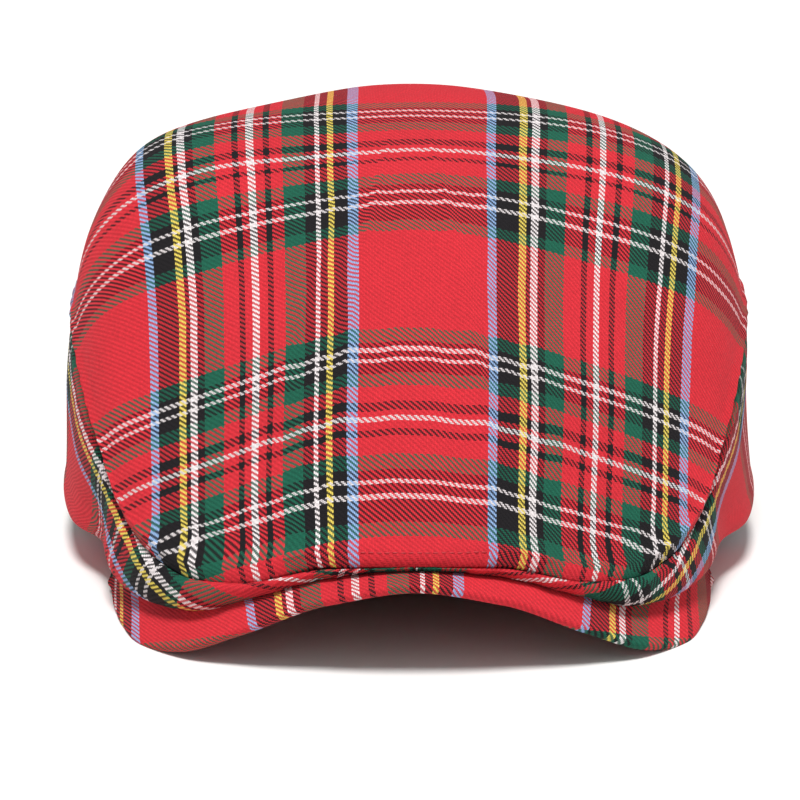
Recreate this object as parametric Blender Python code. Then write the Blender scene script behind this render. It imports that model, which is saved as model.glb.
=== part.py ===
"""A duckbill flat cap of tartan cloth, empty, standing on the low sides of its peak and its back rim.

X runs to the wearer's left and right, -Y is the front, +Z is up. The origin lies under the middle
of the cap, on the plane that it stands on.
"""
import bmesh
import bpy
import numpy as np

# Driving sizes, in metres
CROWN_WIDTH = 0.2065
CROWN_LENGTH = 0.244
CROWN_HEIGHT = 0.1268
HEAD_WIDTH = 0.178
HEAD_LENGTH = 0.188
HEAD_SETBACK = 0.011
TOP_SETBACK = 0.047
PEAK_REACH = 0.0045
WALL = 0.002
PEAK_THICKNESS = 0.0026
SWEATBAND_HEIGHT = 0.026
SWEATBAND_THICKNESS = 0.0012
SWEATBAND_INSET = 0.001
SEAM_DEPTH = 0.0009
SEAM_WIDTH = 0.0035
NARROW_BAND = 0.012
ROLL = 0.3
GAP = 0.0003

# Where the peak ends, in degrees of turn from the centre front, on each side
PEAK_END = 61.0

# How finely the cloth is faceted
ROUND_STEPS = 80
PEAK_STEPS = 36
TOP_ROWS = (0, 0.04, 0.1, 0.17, 0.25, 0.33, 0.41, 0.49, 0.57, 0.65, 0.73, 0.8, 0.87, 0.93, 0.97)
SIDE_ROWS = (0, 0.12, 0.25, 0.4, 0.55, 0.7, 0.83, 0.93, 1)
PEAK_ROWS = (0, 0.17, 0.34, 0.5, 0.62, 0.74, 0.86, 1)

# The crown's line over its centre, from the front seam to its top: how steep it starts, in
# degrees, and how far it keeps to its first and last directions, as shares
FRONT_STEEPNESS = 48
FRONT_HOLD = 0.44
TOP_HOLD = 0.36

# The power that shapes the arch over the cap: 2 makes an oval, and more makes squarer shoulders
SHOULDER_POWER = 2.8

# For each unit of a section's square column, how far its wall leans in on the way up, as a
# share, and how quickly it leaves its widest line
WALL_LEAN = 0.2
CORNER_PACE = 20

# How soon the shoulder that comes down to the widest line joins the line over the centre
MEET_FADE = 3

# How far the crown below its widest line keeps to its first and last directions, as shares
BULGE_HOLD = 0.5
TUCK_HOLD = 0.4

# Where along the peak's top face the crown's edge lies on it, and how round its front edge is, as
# a share of its thickness
CREASE_SHARE = 0.5
NOSE = 0.4

# How far from the seam, in crown shares, its two edges are looked for
SEAM_REACH = 0.2
SEAM_STEPS = 101

# Sections round the cap, turning from the centre front (0) past the side (90) to the back (180).
# Plan distances are shares of the half length and half width, heights are shares of the crown's
# height, slope is in degrees, square is how full the shoulder is, meet is how far the shoulder
# comes down to the widest line, seam is where the top panel begins, and tuck is how far the
# lower edge turns under.
COLUMNS = ("turn", "shelf_out", "shelf_up", "on_peak", "rim_up", "slope", "bulge_out", "bulge_up",
           "square", "meet", "seam", "tuck", "peak_out", "peak_up")
SECTIONS = (
    (0,     0.975, 0.215, 1.0, 0.280,  4, 1.000, 0.235, 0.000, 1.00, 0.000, 0.6, 1.000, 0.207),
    (12.5,  0.983, 0.192, 1.0, 0.270, 10, 1.004, 0.226, 0.022, 1.00, 0.000, 0.6, 1.004, 0.171),
    (25,    1.000, 0.131, 1.0, 0.240, 30, 1.025, 0.184, 0.100, 1.00, 0.000, 0.6, 1.026, 0.087),
    (34,    1.003, 0.085, 1.0, 0.210, 52, 1.034, 0.165, 0.140, 0.92, 0.010, 0.6, 1.046, 0.030),
    (41,    0.998, 0.077, 1.0, 0.180, 62, 1.030, 0.160, 0.160, 0.78, 0.080, 0.7, 1.040, 0.010),
    (48,    0.978, 0.075, 1.0, 0.150, 65, 1.015, 0.155, 0.175, 0.60, 0.170, 0.8, 0.998, 0.010),
    (54,    0.952, 0.073, 1.0, 0.120, 66, 1.000, 0.150, 0.185, 0.45, 0.245, 1.0, 0.956, 0.012),
    (61,    0.925, 0.070, 0.7, 0.085, 50, 0.988, 0.150, 0.195, 0.28, 0.335, 1.2, 0.917, 0.026),
    (75,    0.920, 0.055, 0.0, 0.050,  0, 0.985, 0.150, 0.202, 0.08, 0.395, 1.6, 0.917, 0.040),
    (90,    0.900, 0.035, 0.0, 0.030,  0, 1.000, 0.160, 0.205, 0.00, 0.400, 1.6, 0.917, 0.040),
    (120,   0.900, 0.000, 0.0, 0.003,  0, 1.040, 0.200, 0.225, 0.00, 0.415, 1.2, 0.917, 0.040),
    (150,   0.900, 0.000, 0.0, 0.000,  0, 1.030, 0.230, 0.275, 0.00, 0.420, 0.8, 0.917, 0.040),
    (180,   0.900, 0.000, 0.0, 0.000,  0, 1.000, 0.240, 0.300, 0.00, 0.420, 0.7, 0.917, 0.040),
)
TABLE = np.array(SECTIONS, float)


def column_slopes(turns, values):
    """Slopes of a smooth curve through a column that never swings past the column's values."""
    step = np.diff(turns)
    rate = np.diff(values) / step
    slope = np.zeros(len(values))
    for i in range(1, len(values) - 1):
        if rate[i - 1] * rate[i] > 0:
            near = 2 * step[i] + step[i - 1]
            far = step[i] + 2 * step[i - 1]
            slope[i] = (near + far) / (near / rate[i - 1] + far / rate[i])
    return slope


SLOPES = np.stack([column_slopes(TABLE[:, 0], column) for column in TABLE.T], 1)


def hermite(start, end, leave, arrive, t):
    return ((2 * t**3 - 3 * t**2 + 1) * start + (t**3 - 2 * t**2 + t) * leave
            + (3 * t**2 - 2 * t**3) * end + (t**3 - t**2) * arrive)


def bezier(a, b, c, d, t):
    return (1 - t)**3 * a + 3 * (1 - t)**2 * t * b + 3 * (1 - t) * t**2 * c + t**3 * d


def unit(vectors):
    return vectors / np.linalg.norm(vectors, axis=-1, keepdims=True)


def raised(plan, up):
    """A plan point with its height."""
    return np.concatenate([plan, up], -1)


def section(turn):
    """The table's columns at any turn. The two sides of the cap mirror each other."""
    turn = np.abs((turn + 180) % 360 - 180)
    row = np.clip(np.searchsorted(TABLE[:, 0], turn, side="right") - 1, 0, len(TABLE) - 2)
    step = (TABLE[row + 1, 0] - TABLE[row, 0])[..., None]
    t = (turn - TABLE[row, 0])[..., None] / step
    values = hermite(TABLE[row], TABLE[row + 1], SLOPES[row] * step, SLOPES[row + 1] * step, t)
    return {name: values[..., i:i + 1] for i, name in enumerate(COLUMNS)}


def outline(turn, width, length, setback=0.0):
    """An oval in plan."""
    angle = np.radians(turn)
    return np.stack([np.sin(angle) * width / 2, setback - np.cos(angle) * length / 2], -1)


def head_line(turn, clearance):
    """The outer face of the sweatband in plan, grown by a clearance."""
    return outline(turn, HEAD_WIDTH + 2 * clearance, HEAD_LENGTH + 2 * clearance, HEAD_SETBACK)


def crease(turn):
    """The line under the crown's lower edge, on the peak in front and on the rim behind it.

    With it come the directions down the peak and out of the peak's top face, and the section.
    """
    s = section(turn)
    rim = head_line(turn, GAP + WALL)
    shelf = outline(turn, CROWN_WIDTH, CROWN_LENGTH) * s["shelf_out"]
    plan = rim + (shelf - rim) * s["on_peak"]
    up = s["rim_up"] + (s["shelf_up"] - s["rim_up"]) * s["on_peak"]
    outward = unit(outline(turn, CROWN_LENGTH, CROWN_WIDTH))
    slope = np.radians(s["slope"])
    down = raised(outward * np.cos(slope), -np.sin(slope))
    away = raised(outward * np.sin(slope), np.cos(slope))
    return raised(plan, up * CROWN_HEIGHT), down, away, s


def centre_line():
    """The crown's line over its centre, as places along the cap and heights."""
    start = np.array([-CROWN_LENGTH / 2, TABLE[0, COLUMNS.index("bulge_up")] * CROWN_HEIGHT])
    end = np.array([TOP_SETBACK, CROWN_HEIGHT])
    rise = end[1] - start[1]
    climb = np.array([1 / np.tan(np.radians(FRONT_STEEPNESS)), 1]) * rise * FRONT_HOLD
    level = np.array([end[0] - start[0], 0]) * TOP_HOLD
    return bezier(start, start + climb, end - level, end, np.linspace(0, 1, 201)[:, None]).T


CENTRE_LINE = centre_line()


def crown(turn, share):
    """The crown's outer face. Share -1 is its lower edge, 0 its widest line and 1 its top."""
    turn, share = np.broadcast_arrays(turn, share)
    under, down, away, s = crease(turn)
    edge = under + away * GAP * s["on_peak"]
    bulge = raised(outline(turn, CROWN_WIDTH, CROWN_LENGTH) * s["bulge_out"], s["bulge_up"] * CROWN_HEIGHT)
    inward = 1 - np.clip(share, 0, 1)[..., None]**(1 + CORNER_PACE * s["square"])
    arch = (1 - inward**SHOULDER_POWER)**s["square"]
    lean = 1 - WALL_LEAN * s["square"] * arch
    plan = [0, TOP_SETBACK] + (bulge[..., :2] - [0, TOP_SETBACK]) * inward * lean
    over = np.interp(plan[..., 1:], *CENTRE_LINE)
    step = np.interp(bulge[..., 1:2], *CENTRE_LINE) - bulge[..., 2:]
    over = over - step * s["meet"] * inward**MEET_FADE
    upper = raised(plan, bulge[..., 2:] + (over - bulge[..., 2:]) * arch)
    drop = np.linalg.norm(bulge - edge, axis=-1, keepdims=True)
    roll = raised(unit(outline(turn, CROWN_LENGTH, CROWN_WIDTH)) * ROLL, -np.ones_like(drop))
    tuck = unit(-down * s["tuck"] - away)
    low = np.clip(-share, 0, 1)[..., None]
    rolled = bulge + unit(roll) * drop * BULGE_HOLD
    lower = bezier(bulge, rolled, edge - tuck * drop * TUCK_HOLD, edge, low)
    return np.where(share[..., None] < 0, lower, upper)


def peak_top(turn, share):
    """The peak's top face. Share 0 is its inner edge at the sweatband and 1 its front edge."""
    turn, share = np.broadcast_arrays(turn, share)
    under, down, away, s = crease(turn)
    inner = raised(head_line(turn, GAP), s["rim_up"] * CROWN_HEIGHT)
    reach = outline(turn, CROWN_WIDTH, CROWN_LENGTH + 2 * PEAK_REACH) * s["peak_out"]
    reach[..., 0] *= 1 + 2 * PEAK_REACH / CROWN_LENGTH
    front = raised(reach, s["peak_up"] * CROWN_HEIGHT)
    back_length = np.linalg.norm(under - inner, axis=-1, keepdims=True)
    fore_length = np.linalg.norm(front - under, axis=-1, keepdims=True)
    t = share[..., None] / CREASE_SHARE
    back = hermite(inner, under, under - inner, down * back_length, np.clip(t, 0, 1))
    fore = hermite(under, front, down * fore_length, front - under, np.clip(t - 1, 0, 1))
    return np.where(t < 1, back, fore)


def face_normal(surface, turn, share):
    """Direction out of a surface whose share rises towards the top of the cap."""
    step = 0.02
    across = surface(turn + step, share) - surface(turn - step, share)
    along = surface(turn, share + step) - surface(turn, share - step)
    return unit(np.cross(across, along))


def run_length(points, axis):
    """Distance along rows of points from the start of an axis."""
    step = np.linalg.norm(np.diff(points, axis=axis), axis=-1)
    start = np.zeros_like(np.take(step, [0], axis))
    return np.concatenate([start, np.cumsum(step, axis)], axis)


def mid_share(turn, side):
    """The crown share of a panel's edge at the seam: side 1 is the top panel, -1 a side panel."""
    share = section(turn)["seam"] + side * np.linspace(0, SEAM_REACH, SEAM_STEPS)
    away = run_length(crown(turn[:, None], share), 1)
    return np.array([np.interp(GAP / 2, *line) for line in zip(away, share)])


def walls(turn, share, from_seam, seam_row):
    """Outer and inner faces of a crown panel, rolled in where it is sewn to its neighbours."""
    outer = crown(turn, share)
    away = face_normal(crown, turn, share)
    away[:, seam_row] = face_normal(crown, turn[:, 0], section(turn[:, 0])["seam"][..., 0])
    dip = SEAM_DEPTH * np.exp(-(from_seam / SEAM_WIDTH)**2)
    return outer - away * dip[..., None], outer - away * WALL


def straighten(rows, height):
    """Draws rows of points to straight lines where the strip is too narrow to be rolled inside."""
    along = np.linspace(0, 1, rows.shape[1])[:, None]
    straight = rows[:, :1] + (rows[:, -1:] - rows[:, :1]) * along
    rolled = np.clip((height - NARROW_BAND) / NARROW_BAND, 0, 1)[:, None, None]
    return straight + (rows - straight) * rolled


def skin(shape, sections, wraps, tips=()):
    """Joins sections of the wall into one closed solid.

    Each section is a loop of points round the wall, or with tips a line between the two tips.
    """
    rows = [[shape.verts.new(point) for point in line] for line in sections]
    ends = [shape.verts.new(point) for point in tips]
    following = rows[1:] + rows[:1] if wraps else rows[1:]
    count = len(rows[0])
    for row, after in zip(rows, following):
        for i in range(count - 1 if tips else count):
            j = (i + 1) % count
            shape.faces.new((row[i], row[j], after[j], after[i]))
        for end, i in zip(ends, (0, -1)):
            shape.faces.new((row[i], after[i], end))
    if not wraps:
        half = count // 2
        for row in (rows[0], rows[-1]):
            for i in range(half - 1):
                shape.faces.new((row[i], row[i + 1], row[-2 - i], row[-1 - i]))
            if count % 2:
                shape.faces.new(row[half - 1:half + 2])


def finish_solid(name, shape, material):
    """Makes the object of one closed solid with its faces turned out."""
    bmesh.ops.recalc_face_normals(shape, faces=shape.faces)
    mesh = bpy.data.meshes.new(name)
    shape.to_mesh(mesh)
    shape.free()
    mesh.shade_smooth()
    mesh.set_sharp_from_angle(angle=np.radians(50))
    mesh.materials.append(material)
    item = bpy.data.objects.new(name, mesh)
    bpy.context.scene.collection.objects.link(item)
    return item


def cloth(name, colour, roughness):
    material = bpy.data.materials.new(name)
    material.use_nodes = True
    shader = material.node_tree.nodes["Principled BSDF"]
    shader.inputs["Base Color"].default_value = (*colour, 1)
    shader.inputs["Roughness"].default_value = roughness
    shader.inputs["Metallic"].default_value = 0
    return material


def top_panel(material):
    """The tongue of cloth from the front seam over the top of the cap."""
    turns = np.arange(ROUND_STEPS) * 360 / ROUND_STEPS
    low = mid_share(turns, 1)[:, None]
    share = low + (1 - low) * np.array(TOP_ROWS)
    turn = np.broadcast_to(turns[:, None], share.shape)
    outer, inner = walls(turn, share, run_length(crown(turn, share), 1), 0)
    top = crown(np.array(0.0), np.array(1.0))
    shape = bmesh.new()
    skin(shape, np.concatenate([outer[:, ::-1], inner], 1), True, (top, top - [0, 0, WALL]))
    return finish_solid("top_panel", shape, material)


def side_panel(name, side, material):
    """A strip from the centre front round one side to the centre back: side 1 is +X, -1 is -X."""
    clear = np.degrees(GAP / CROWN_WIDTH / TABLE[:, COLUMNS.index("shelf_out")].min())
    turns = np.linspace(clear, 180 - clear, ROUND_STEPS // 2 + 1)
    high = mid_share(turns, -1)[:, None]
    share = -1 + (high + 1) * np.array(SIDE_ROWS)
    turn = np.broadcast_to(turns[:, None] * side, share.shape)
    face = crown(turn, share)
    from_top = run_length(face[:, ::-1], 1)[:, ::-1]
    from_front = run_length(face, 0)
    from_back = run_length(face[::-1], 0)[::-1]
    outer, inner = walls(turn, share, np.minimum(from_top, np.minimum(from_front, from_back)), -1)
    under, down, away, s = crease(turn[:, 0])
    outer[:, 0] = face[:, 0]
    inner[:, 0] = face[:, 0] - down * WALL
    inner = straighten(inner, run_length(face, 1)[:, -1])
    shape = bmesh.new()
    skin(shape, np.concatenate([outer, inner[:, ::-1]], 1), False)
    return finish_solid(name, shape, material)


def peak(material):
    """The stiff arched crescent, flattened a little where its low sides rest."""
    turns = np.linspace(-PEAK_END, PEAK_END, PEAK_STEPS + 1)
    turn, share = np.broadcast_arrays(turns[:, None], np.array(PEAK_ROWS, float))
    top = peak_top(turn, share)
    into = face_normal(peak_top, turn, np.clip(share, 0.02, 0.98))
    bottom = top + into * PEAK_THICKNESS
    bottom[:, 0] = top[:, 0] - [0, 0, PEAK_THICKNESS]
    forward = unit(top[:, -1] - top[:, -2])
    nose = (top[:, -1] + bottom[:, -1]) / 2 + forward * PEAK_THICKNESS * NOSE
    loops = np.concatenate([top, nose[:, None], bottom[:, ::-1]], 1)
    loops[..., 2] = np.maximum(loops[..., 2], 0)
    shape = bmesh.new()
    skin(shape, loops, False)
    return finish_solid("peak", shape, material)


def sweatband(material):
    """The strip inside the rim, all round the head opening."""
    turns = np.arange(ROUND_STEPS) * 360 / ROUND_STEPS
    s = section(turns)
    low = s["rim_up"] * CROWN_HEIGHT - PEAK_THICKNESS * s["on_peak"] + SWEATBAND_INSET
    high = low + SWEATBAND_HEIGHT
    outer = head_line(turns, 0)
    inner = head_line(turns, -SWEATBAND_THICKNESS)
    loops = np.stack([raised(outer, low), raised(outer, high), raised(inner, high), raised(inner, low)], 1)
    shape = bmesh.new()
    skin(shape, loops, True)
    return finish_solid("sweatband", shape, material)


for item in list(bpy.data.objects):
    bpy.data.objects.remove(item)

tartan = cloth("Tartan cloth", (0.42, 0.012, 0.02), 0.85)
lining = cloth("Dark sweatband cloth", (0.012, 0.008, 0.008), 0.7)

pieces = [
    top_panel(tartan),
    side_panel("side_panel_left", -1, tartan),
    side_panel("side_panel_right", 1, tartan),
    peak(tartan),
    sweatband(lining),
]

# The origin goes under the middle of the cap
reach = [vertex.co.y for item in pieces for vertex in item.data.vertices]
for item in pieces:
    for vertex in item.data.vertices:
        vertex.co.y -= (min(reach) + max(reach)) / 2
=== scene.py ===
"""A duckbill flat cap of red tartan twill, empty, standing on a pale floor."""

import bpy
import numpy as np
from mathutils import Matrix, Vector


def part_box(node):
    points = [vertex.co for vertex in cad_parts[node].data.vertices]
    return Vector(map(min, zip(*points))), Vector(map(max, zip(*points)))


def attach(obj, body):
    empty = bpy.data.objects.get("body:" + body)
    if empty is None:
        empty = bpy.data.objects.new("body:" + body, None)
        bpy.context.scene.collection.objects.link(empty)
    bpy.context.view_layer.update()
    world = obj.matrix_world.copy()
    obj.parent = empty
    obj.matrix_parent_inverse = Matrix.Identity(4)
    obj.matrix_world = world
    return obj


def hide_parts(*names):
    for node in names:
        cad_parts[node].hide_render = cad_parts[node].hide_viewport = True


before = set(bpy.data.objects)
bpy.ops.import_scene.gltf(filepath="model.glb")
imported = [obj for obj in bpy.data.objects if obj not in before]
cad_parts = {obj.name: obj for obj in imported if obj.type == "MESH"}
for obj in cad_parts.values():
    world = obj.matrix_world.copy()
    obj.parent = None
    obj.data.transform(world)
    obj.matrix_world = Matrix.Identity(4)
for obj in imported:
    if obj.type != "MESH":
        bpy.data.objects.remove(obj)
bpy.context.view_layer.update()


# Top panel
# The big tongue of tartan cloth from the front seam over the top to the back. It was cut flat, and
# is sewn to the side panels right sides together and turned, so its seam is a soft furrow.

# The cloth is a wool and cotton twill, woven two over two under, so its lines run down to the
# right. The warp runs from front to back, and each colour is dyed in the yarn before weaving.

# One yarn to the next, in metres
YARN = 0.00041

# How much of the warp shows between the weft yarns that cross over it, and the other way round
WARP_SHOWS = 0.12
WEFT_SHOWS = 0.04

# Stripes of the warp from the middle of the wide red one to the right, seen from the front, as
# colour and width in millimetres. The black beside the blue is wider on one side of the red.
WARP = (
    ("red", 16.5), ("blue", 2.8), ("black", 6.1), ("yellow", 1.9), ("black", 1.4), ("white", 1.6),
    ("black", 2.4), ("green", 5.3), ("red", 4.8), ("black", 1.6), ("red", 2.2), ("white", 1.7),
    ("red", 2.7), ("black", 1.9), ("red", 3.1), ("green", 5.6), ("black", 2.7), ("white", 1.7),
    ("black", 1.5), ("yellow", 1.9), ("black", 3.9), ("blue", 2.9), ("red", 17.2),
)

# Stripes of the weft from the front of the cap towards its top
WEFT = (
    ("red", 7.9), ("green", 4.4), ("black", 6.6), ("white", 1.3), ("black", 3.1), ("white", 1.4),
    ("black", 2.7), ("green", 4.6), ("red", 5.3), ("black", 2.1), ("red", 2.1), ("white", 1.5),
    ("red", 2.1), ("black", 2.5), ("red", 5.0), ("green", 4.5), ("black", 3.2), ("white", 1.4),
    ("black", 2.4), ("white", 1.5), ("black", 1.6), ("green", 4.3), ("red", 27.4),
)

DYES = {
    "red": "#DB2C38",
    "green": "#14604A",
    "black": "#151115",
    "white": "#EFE6E6",
    "yellow": "#E6CE5C",
    "blue": "#8FB0DC",
}


def linear(colour):
    """An sRGB hex colour as linear red, green, blue and alpha."""
    parts = [int(colour[i:i + 2], 16) / 255 for i in (1, 3, 5)]
    return (*[p / 12.92 if p <= 0.04045 else ((p + 0.055) / 1.055)**2.4 for p in parts], 1)


def add(material, kind, links=None, **settings):
    """Adds a node to a material with its settings, and links or values for its inputs."""
    tree = material.node_tree
    made = tree.nodes.new(kind)
    for name, value in settings.items():
        setattr(made, name, value)
    for name, value in (links or {}).items():
        if isinstance(value, bpy.types.NodeSocket):
            tree.links.new(value, made.inputs[name])
        else:
            made.inputs[name].default_value = value
    return made


# How far yarns wander off their straight lines, in metres
WANDER = 0.0004

# Patches of wandering, of wear and of hair, for each metre. Real hair is finer, but would not show.
WANDER_SCALE = 60
WEAR_SCALE = 28
HAIR_SCALE = 900

# How deep the weave is, and how far the twill's ribs and the hair stand up against one yarn
WEAVE_DEPTH = YARN * 0.4
RIB_RELIEF = 0.5
HAIR_RELIEF = 0.35


def tartan_twill():
    """Dyed woollen twill: matt, a little hairy, every yarn a rounded ridge."""
    made = bpy.data.materials.new("Tartan twill")
    made.use_nodes = True
    flat = add(made, "ShaderNodeUVMap", uv_map="Cloth")
    drift = add(made, "ShaderNodeTexNoise",
                {"Vector": flat.outputs[0], "Scale": WANDER_SCALE, "Detail": 1})
    slack = add(made, "ShaderNodeVectorMath", {0: drift.outputs["Color"], 1: (0.5, 0.5, 0.5)},
                operation="SUBTRACT")
    moved = add(made, "ShaderNodeVectorMath",
                {0: slack.outputs[0], 1: (WANDER, WANDER, 0), 2: flat.outputs[0]},
                operation="MULTIPLY_ADD")
    place = add(made, "ShaderNodeSeparateXYZ", {0: moved.outputs[0]})
    counts, indices, ridge_reliefs_and_shades, dyed = [], [], [], []
    for side, stripes in ((0, WARP), (1, WEFT)):
        count = add(made, "ShaderNodeMath", {0: place.outputs[side], 1: YARN}, operation="DIVIDE")
        index = add(made, "ShaderNodeMath", {0: count.outputs[0]}, operation="FLOOR")
        across = add(made, "ShaderNodeMath", {0: count.outputs[0]}, operation="FRACT")
        turned = add(made, "ShaderNodeMath", {0: across.outputs[0], 1: np.pi}, operation="MULTIPLY")
        ridge_relief_and_shade = add(made, "ShaderNodeMath", {0: turned.outputs[0]}, operation="SINE")
        repeat = sum(width for dye, width in stripes) / 1000
        middle = add(made, "ShaderNodeMath", {0: index.outputs[0], 1: 0.5}, operation="ADD")
        share = add(made, "ShaderNodeMath", {0: middle.outputs[0], 1: YARN / repeat},
                    operation="MULTIPLY")
        within = add(made, "ShaderNodeMath", {0: share.outputs[0]}, operation="FRACT")
        chart = add(made, "ShaderNodeValToRGB", {0: within.outputs[0]})
        chart.color_ramp.interpolation = "CONSTANT"
        start = 0
        for number, (dye, width) in enumerate(stripes):
            stops = chart.color_ramp.elements
            if 0 < number:
                stop = stops.new(start / repeat)
            else:
                stop = stops[0]
                stops.remove(stops[1])
            stop.color = linear(DYES[dye])
            start += width / 1000
        counts.append(count.outputs[0])
        indices.append(index.outputs[0])
        ridge_reliefs_and_shades.append(ridge_relief_and_shade.outputs[0])
        dyed.append(chart.outputs[0])

    step = add(made, "ShaderNodeMath", {0: indices[0], 1: indices[1]}, operation="ADD")
    four = add(made, "ShaderNodeMath", {0: step.outputs[0], 1: 4.0}, operation="FLOORED_MODULO")
    warp_up = add(made, "ShaderNodeMath", {0: four.outputs[0], 1: 1.5}, operation="LESS_THAN")
    shown = add(made, "ShaderNodeMapRange",
                {0: warp_up.outputs[0], 3: WARP_SHOWS, 4: 1 - WEFT_SHOWS})
    colour = add(made, "ShaderNodeMix", {0: shown.outputs[0], 6: dyed[1], 7: dyed[0]},
                 data_type="RGBA")
    ridge_relief_and_shade = add(made, "ShaderNodeMix", {0: warp_up.outputs[0], 2: ridge_reliefs_and_shades[1], 3: ridge_reliefs_and_shades[0]})

    # Yarns vary a little in their dye, and painted shade darkens the cloth in the furrows between
    # the yarns and between the twill's ribs
    yarn = add(made, "ShaderNodeCombineXYZ", {0: indices[0], 1: indices[1]})
    uneven = add(made, "ShaderNodeTexWhiteNoise", {0: yarn.outputs[0]}, noise_dimensions="2D")
    hair = add(made, "ShaderNodeTexNoise",
               {"Vector": flat.outputs[0], "Scale": HAIR_SCALE, "Detail": 4, "Roughness": 0.7})
    worn = add(made, "ShaderNodeTexNoise",
               {"Vector": flat.outputs[0], "Scale": WEAR_SCALE, "Detail": 3})
    both = add(made, "ShaderNodeMath", {0: counts[0], 1: counts[1]}, operation="ADD")
    turned = add(made, "ShaderNodeMath", {0: both.outputs[0], 1: np.pi / 2}, operation="MULTIPLY")
    wale_relief_and_shade = add(made, "ShaderNodeMath", {0: turned.outputs[0]}, operation="SINE")
    shade = 1.0
    for cause, low, high, dark, bright in (
        # the cause and the range it runs over, and how dark and how bright that makes the cloth
        (uneven, 0.0, 1.0, 0.9, 1.08),
        # painted shade between the yarns, darker at each yarn's sides and a little lighter on its
        # middle
        (ridge_relief_and_shade, 0.0, 1.0, 0.7, 1.04),
        # painted shade in the twill's furrows, a little lighter on its ribs
        (wale_relief_and_shade, -1.0, 1.0, 0.8, 1.06),
        (worn, 0.3, 0.7, 0.94, 1.05),
        (hair, 0.3, 0.7, 0.93, 1.07),
    ):
        part = add(made, "ShaderNodeMapRange",
                   {0: cause.outputs[0], 1: low, 2: high, 3: dark, 4: bright})
        shade = add(made, "ShaderNodeMath", {0: shade, 1: part.outputs[0]},
                    operation="MULTIPLY").outputs[0]
    seen = add(made, "ShaderNodeVectorMath", {0: colour.outputs[2], "Scale": shade},
               operation="SCALE")

    ribs = add(made, "ShaderNodeMath", {0: wale_relief_and_shade.outputs[0], 1: RIB_RELIEF, 2: ridge_relief_and_shade.outputs[0]},
               operation="MULTIPLY_ADD")
    height = add(made, "ShaderNodeMath", {0: hair.outputs[0], 1: HAIR_RELIEF, 2: ribs.outputs[0]},
                 operation="MULTIPLY_ADD")
    relief = add(made, "ShaderNodeBump",
                 {"Strength": 0.55, "Distance": WEAVE_DEPTH, "Height": height.outputs[0]})
    shader = made.node_tree.nodes["Principled BSDF"]
    made.node_tree.links.new(seen.outputs[0], shader.inputs["Base Color"])
    made.node_tree.links.new(relief.outputs[0], shader.inputs["Normal"])
    shader.inputs["Roughness"].default_value = 0.86
    shader.inputs["Specular IOR Level"].default_value = 0.25
    shader.inputs["Sheen Weight"].default_value = 0.02
    shader.inputs["Sheen Roughness"].default_value = 0.5
    return made


# Yarns to a metre of plain cloth, how dark and how bright they make it, and how deep its weave is
PLAIN_SCALE = 1500
PLAIN_SHADES = (0.75, 1.25)
PLAIN_DEPTH = 0.0001


def plain_cloth(name, colour):
    """Piece-dyed cloth of one colour in a plain weave, matt, as linings and sweatbands are."""
    made = bpy.data.materials.new(name)
    made.use_nodes = True
    place = add(made, "ShaderNodeTexCoord")
    weave = add(made, "ShaderNodeTexNoise",
                {"Vector": place.outputs["Object"], "Scale": PLAIN_SCALE, "Detail": 3})
    shade = add(made, "ShaderNodeMapRange",
                {0: weave.outputs[0], 3: PLAIN_SHADES[0], 4: PLAIN_SHADES[1]})
    dye = add(made, "ShaderNodeRGB")
    dye.outputs[0].default_value = linear(colour)
    seen = add(made, "ShaderNodeVectorMath", {0: dye.outputs[0], "Scale": shade.outputs[0]},
               operation="SCALE")
    relief = add(made, "ShaderNodeBump",
                 {"Strength": 0.4, "Distance": PLAIN_DEPTH, "Height": weave.outputs[0]})
    shader = made.node_tree.nodes["Principled BSDF"]
    made.node_tree.links.new(seen.outputs[0], shader.inputs["Base Color"])
    made.node_tree.links.new(relief.outputs[0], shader.inputs["Normal"])
    shader.inputs["Roughness"].default_value = 0.8
    return made


tartan = tartan_twill()
lining = plain_cloth("Lining cloth", "#261819")

# The form of the crown, which the side panels share, and of the head opening in it, in metres, and
# how far the middle of the opening and the highest place lie behind the middle of the crown
CROWN_WIDTH = 0.2065
CROWN_LENGTH = 0.244
CROWN_HEIGHT = 0.1268
HEAD_WIDTH = 0.178
HEAD_LENGTH = 0.188
HEAD_SETBACK = 0.011
TOP_SETBACK = 0.047

# How thick the lined cloth is, and the gap between one piece and the next
WALL = 0.002
GAP = 0.0003

# How far out the side panels' lower edge rolls, for each step down
ROLL = 0.3

# The line over the middle of the crown: how steep it starts, in degrees, and how far it keeps
# to its first and last directions, as shares
FRONT_STEEPNESS = 48
FRONT_HOLD = 0.44
TOP_HOLD = 0.36

# The power that shapes the arch over the cap: 2 makes an oval, and more makes squarer shoulders
SHOULDER_POWER = 2.8

# For each unit of a section's square column, how far its wall leans in on the way up, as a
# share, and how quickly it leaves its widest line
WALL_LEAN = 0.2
CORNER_PACE = 20

# How soon the shoulder that comes down to the widest line joins the line over the middle
MEET_FADE = 3

# How far the crown below its widest line keeps to its first and last directions, as shares
BULGE_HOLD = 0.5
TUCK_HOLD = 0.4

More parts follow.
